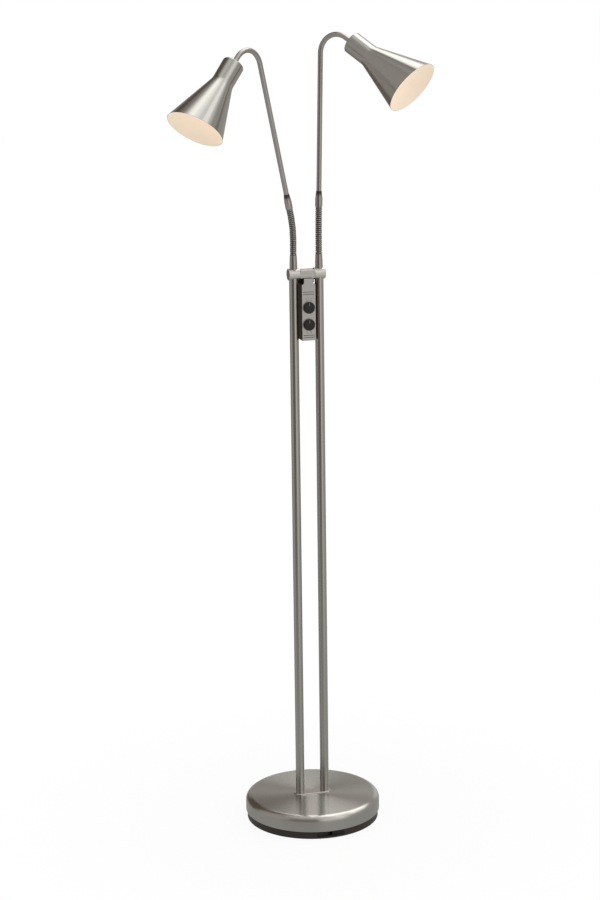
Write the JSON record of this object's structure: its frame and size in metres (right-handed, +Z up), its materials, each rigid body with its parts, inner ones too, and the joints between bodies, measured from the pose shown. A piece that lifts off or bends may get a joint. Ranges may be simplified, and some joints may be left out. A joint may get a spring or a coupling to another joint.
{
  "type": "reading floor lamp",
  "caption": "Floor lamp with a weighted round base, two slim uprights, a dimmer box between them and two flexible necks with hooked arms and conical shades.",
  "frame": {"origin": "middle of the base's flat underside, on the floor", "axes": "+Z up along the uprights, the two uprights stand side by side along X, the front with the dimmer knobs faces -Y"},
  "size_m": [0.4643, 0.324, 1.4512],
  "materials": {
    "base_steel": "spun brushed nickel, satin lacquer",
    "cast_weight": "as cast, painted",
    "base_ring_plastic": "dark moulded ring",
    "felt": "black felt",
    "inlet_plastic": "black moulding",
    "upright_steel": "lengthwise brushed nickel",
    "fastener_steel": "zinc plated",
    "wire_sheath": "flexible sheath",
    "bracket_metal": "satin light grey",
    "plate_aluminium": "finely brushed",
    "housing_plastic": "fine grained moulding",
    "board_laminate": "lacquered laminate",
    "dimmer_plastic": "moulded",
    "spindle_steel": "turned",
    "knob_plastic": "semi-gloss black",
    "neck_steel": "satin nickel coil",
    "ferrule_steel": "turned satin nickel",
    "arm_steel": "satin nickel tube",
    "shade_steel": "brushed nickel outside, white enamel inside",
    "collar_plastic": "pale moulding",
    "holder_plastic": "white heat-proof moulding",
    "bulb_cap_metal": "rolled shell",
    "bulb_glass": "opal glass, lit"
  },
  "bodies": {
    "lamp_stand": {"base_cover": "base_steel", "base_pad": "felt", "base_tray": "base_ring_plastic", "base_weight": "cast_weight", "bracket_bar": "bracket_metal", "cable_inlet": "inlet_plastic", "circuit_board": "board_laminate", "collar_screws": "fastener_steel", "foot_plate": "base_steel", "front_plate": "plate_aluminium", "housing_screws": "fastener_steel", "housing_shell": "housing_plastic", "left_collar": "bracket_metal", "left_neck_base": "ferrule_steel", "left_upright": "upright_steel", "lip_screw": "fastener_steel", "lower_dimmer": "dimmer_plastic", "right_collar": "bracket_metal", "right_neck_base": "ferrule_steel", "right_upright": "upright_steel", "tray_screws": "fastener_steel", "upper_dimmer": "dimmer_plastic", "upright_nuts": "fastener_steel", "upright_studs": "fastener_steel", "upright_washers": "fastener_steel", "upright_wires": "wire_sheath"},
    "left_link_1": {"left_neck_link_1": "neck_steel"},
    "left_link_2": {"left_neck_link_2": "neck_steel"},
    "left_link_3": {"left_neck_link_3": "neck_steel"},
    "left_link_4": {"left_neck_link_4": "neck_steel"},
    "left_link_5": {"left_neck_link_5": "neck_steel"},
    "left_link_6": {"left_neck_link_6": "neck_steel"},
    "left_link_7": {"left_neck_link_7": "neck_steel"},
    "left_arm": {"left_neck_top": "ferrule_steel", "left_arm_tube": "arm_steel", "left_shade": "shade_steel", "left_shade_collar": "collar_plastic", "left_lock_nut": "fastener_steel", "left_lamp_holder": "holder_plastic", "left_bulb_cap": "bulb_cap_metal", "left_bulb_glass": "bulb_glass"},
    "right_link_1": {"right_neck_link_1": "neck_steel"},
    "right_link_2": {"right_neck_link_2": "neck_steel"},
    "right_link_3": {"right_neck_link_3": "neck_steel"},
    "right_link_4": {"right_neck_link_4": "neck_steel"},
    "right_link_5": {"right_neck_link_5": "neck_steel"},
    "right_link_6": {"right_neck_link_6": "neck_steel"},
    "right_link_7": {"right_neck_link_7": "neck_steel"},
    "right_arm": {"right_neck_top": "ferrule_steel", "right_arm_tube": "arm_steel", "right_shade": "shade_steel", "right_shade_collar": "collar_plastic", "right_lock_nut": "fastener_steel", "right_lamp_holder": "holder_plastic", "right_bulb_cap": "bulb_cap_metal", "right_bulb_glass": "bulb_glass"},
    "upper_dial": {"upper_spindle": "spindle_steel", "upper_knob": "knob_plastic"},
    "lower_dial": {"lower_spindle": "spindle_steel", "lower_knob": "knob_plastic"}
  },
  "joints": [
    {"name": "left_neck_side_1", "type": "hinge", "parent": "lamp_stand", "child": "left_link_1", "pos_m": [-0.0236, 0, 1.06625], "axis": [0, 1, 0], "range_deg": [-5, 3.85]},
    {"name": "left_neck_fore_1", "type": "hinge", "parent": "left_link_1", "child": "left_link_2", "pos_m": [-0.02351, 0, 1.07675], "axis": [1, 0, -0.0087], "range_deg": [-13.65, 8.35]},
    {"name": "left_neck_side_2", "type": "hinge", "parent": "left_link_2", "child": "left_link_3", "pos_m": [-0.02342, -0.00049, 1.08724], "axis": [0.0004, 0.9989, 0.0462], "range_deg": [-5, 3.85]},
    {"name": "left_neck_fore_2", "type": "hinge", "parent": "left_link_3", "child": "left_link_4", "pos_m": [-0.02397, -0.00097, 1.09771], "axis": [0.9986, -0.0028, 0.0523], "range_deg": [-13.65, 8.35]},
    {"name": "left_neck_side_3", "type": "hinge", "parent": "left_link_4", "child": "left_link_5", "pos_m": [-0.02452, -0.00194, 1.10815], "axis": [-0.002, 0.9957, 0.0923], "range_deg": [-5, 3.85]},
    {"name": "left_neck_fore_3", "type": "hinge", "parent": "left_link_5", "child": "left_link_6", "pos_m": [-0.02616, -0.0029, 1.11848], "axis": [0.9877, -0.0125, 0.1559], "range_deg": [-13.65, 8.35]},
    {"name": "left_neck_side_4", "type": "hinge", "parent": "left_link_6", "child": "left_link_7", "pos_m": [-0.0278, -0.00434, 1.12875], "axis": [-0.0092, 0.9904, 0.1377], "range_deg": [-5, 3.85]},
    {"name": "left_neck_fore_4", "type": "hinge", "parent": "left_link_7", "child": "left_arm", "pos_m": [-0.03023, -0.00577, 1.13886], "axis": [0.9728, -0.023, 0.2305], "range_deg": [-13.65, 8.35]},
    {"name": "right_neck_side_1", "type": "hinge", "parent": "lamp_stand", "child": "right_link_1", "pos_m": [0.0236, 0, 1.06625], "axis": [0, 1, 0], "range_deg": [-0.6, 10.9]},
    {"name": "right_neck_fore_1", "type": "hinge", "parent": "right_link_1", "child": "right_link_2", "pos_m": [0.02362, 0, 1.07675], "axis": [1, 0, -0.0017], "range_deg": [-11.75, 10.25]},
    {"name": "right_neck_side_2", "type": "hinge", "parent": "right_link_2", "child": "right_link_3", "pos_m": [0.02364, -0.00014, 1.08725], "axis": [0, 0.9999, 0.0131], "range_deg": [-0.6, 10.9]},
    {"name": "right_neck_fore_2", "type": "hinge", "parent": "right_link_3", "child": "right_link_4", "pos_m": [0.02367, -0.00027, 1.09775], "axis": [1, 0, -0.0035], "range_deg": [-11.75, 10.25]},
    {"name": "right_neck_side_3", "type": "hinge", "parent": "right_link_4", "child": "right_link_5", "pos_m": [0.02371, -0.00055, 1.10824], "axis": [0.0001, 0.9997, 0.0262], "range_deg": [-0.6, 10.9]},
    {"name": "right_neck_fore_3", "type": "hinge", "parent": "right_link_5", "child": "right_link_6", "pos_m": [0.02376, -0.00082, 1.11874], "axis": [1, 0.0001, -0.0052], "range_deg": [-11.75, 10.25]},
    {"name": "right_neck_side_4", "type": "hinge", "parent": "right_link_6", "child": "right_link_7", "pos_m": [0.02382, -0.00124, 1.12923], "axis": [0.0001, 0.9992, 0.0393], "range_deg": [-0.6, 10.9]},
    {"name": "right_neck_fore_4", "type": "hinge", "parent": "right_link_7", "child": "right_arm", "pos_m": [0.02389, -0.00165, 1.13972], "axis": [1, 0.0001, -0.007], "range_deg": [-11.75, 10.25]},
    {"name": "upper_dimmer_turn", "type": "hinge", "parent": "lamp_stand", "child": "upper_dial", "pos_m": [0, -0.0145, 0.9675], "axis": [0, 1, 0], "range_deg": [-150, 150]},
    {"name": "lower_dimmer_turn", "type": "hinge", "parent": "lamp_stand", "child": "lower_dial", "pos_m": [0, -0.0145, 0.9368], "axis": [0, 1, 0], "range_deg": [-150, 150]}
  ],
  "couplings": [
    {"joint": "left_neck_side_2", "follows": "left_neck_side_1", "ratio": 1},
    {"joint": "left_neck_fore_2", "follows": "left_neck_fore_1", "ratio": 1},
    {"joint": "left_neck_side_3", "follows": "left_neck_side_1", "ratio": 1},
    {"joint": "left_neck_fore_3", "follows": "left_neck_fore_1", "ratio": 1},
    {"joint": "left_neck_side_4", "follows": "left_neck_side_1", "ratio": 1},
    {"joint": "left_neck_fore_4", "follows": "left_neck_fore_1", "ratio": 1},
    {"joint": "right_neck_side_2", "follows": "right_neck_side_1", "ratio": 1},
    {"joint": "right_neck_fore_2", "follows": "right_neck_fore_1", "ratio": 1},
    {"joint": "right_neck_side_3", "follows": "right_neck_side_1", "ratio": 1},
    {"joint": "right_neck_fore_3", "follows": "right_neck_fore_1", "ratio": 1},
    {"joint": "right_neck_side_4", "follows": "right_neck_side_1", "ratio": 1},
    {"joint": "right_neck_fore_4", "follows": "right_neck_fore_1", "ratio": 1}
  ]
}
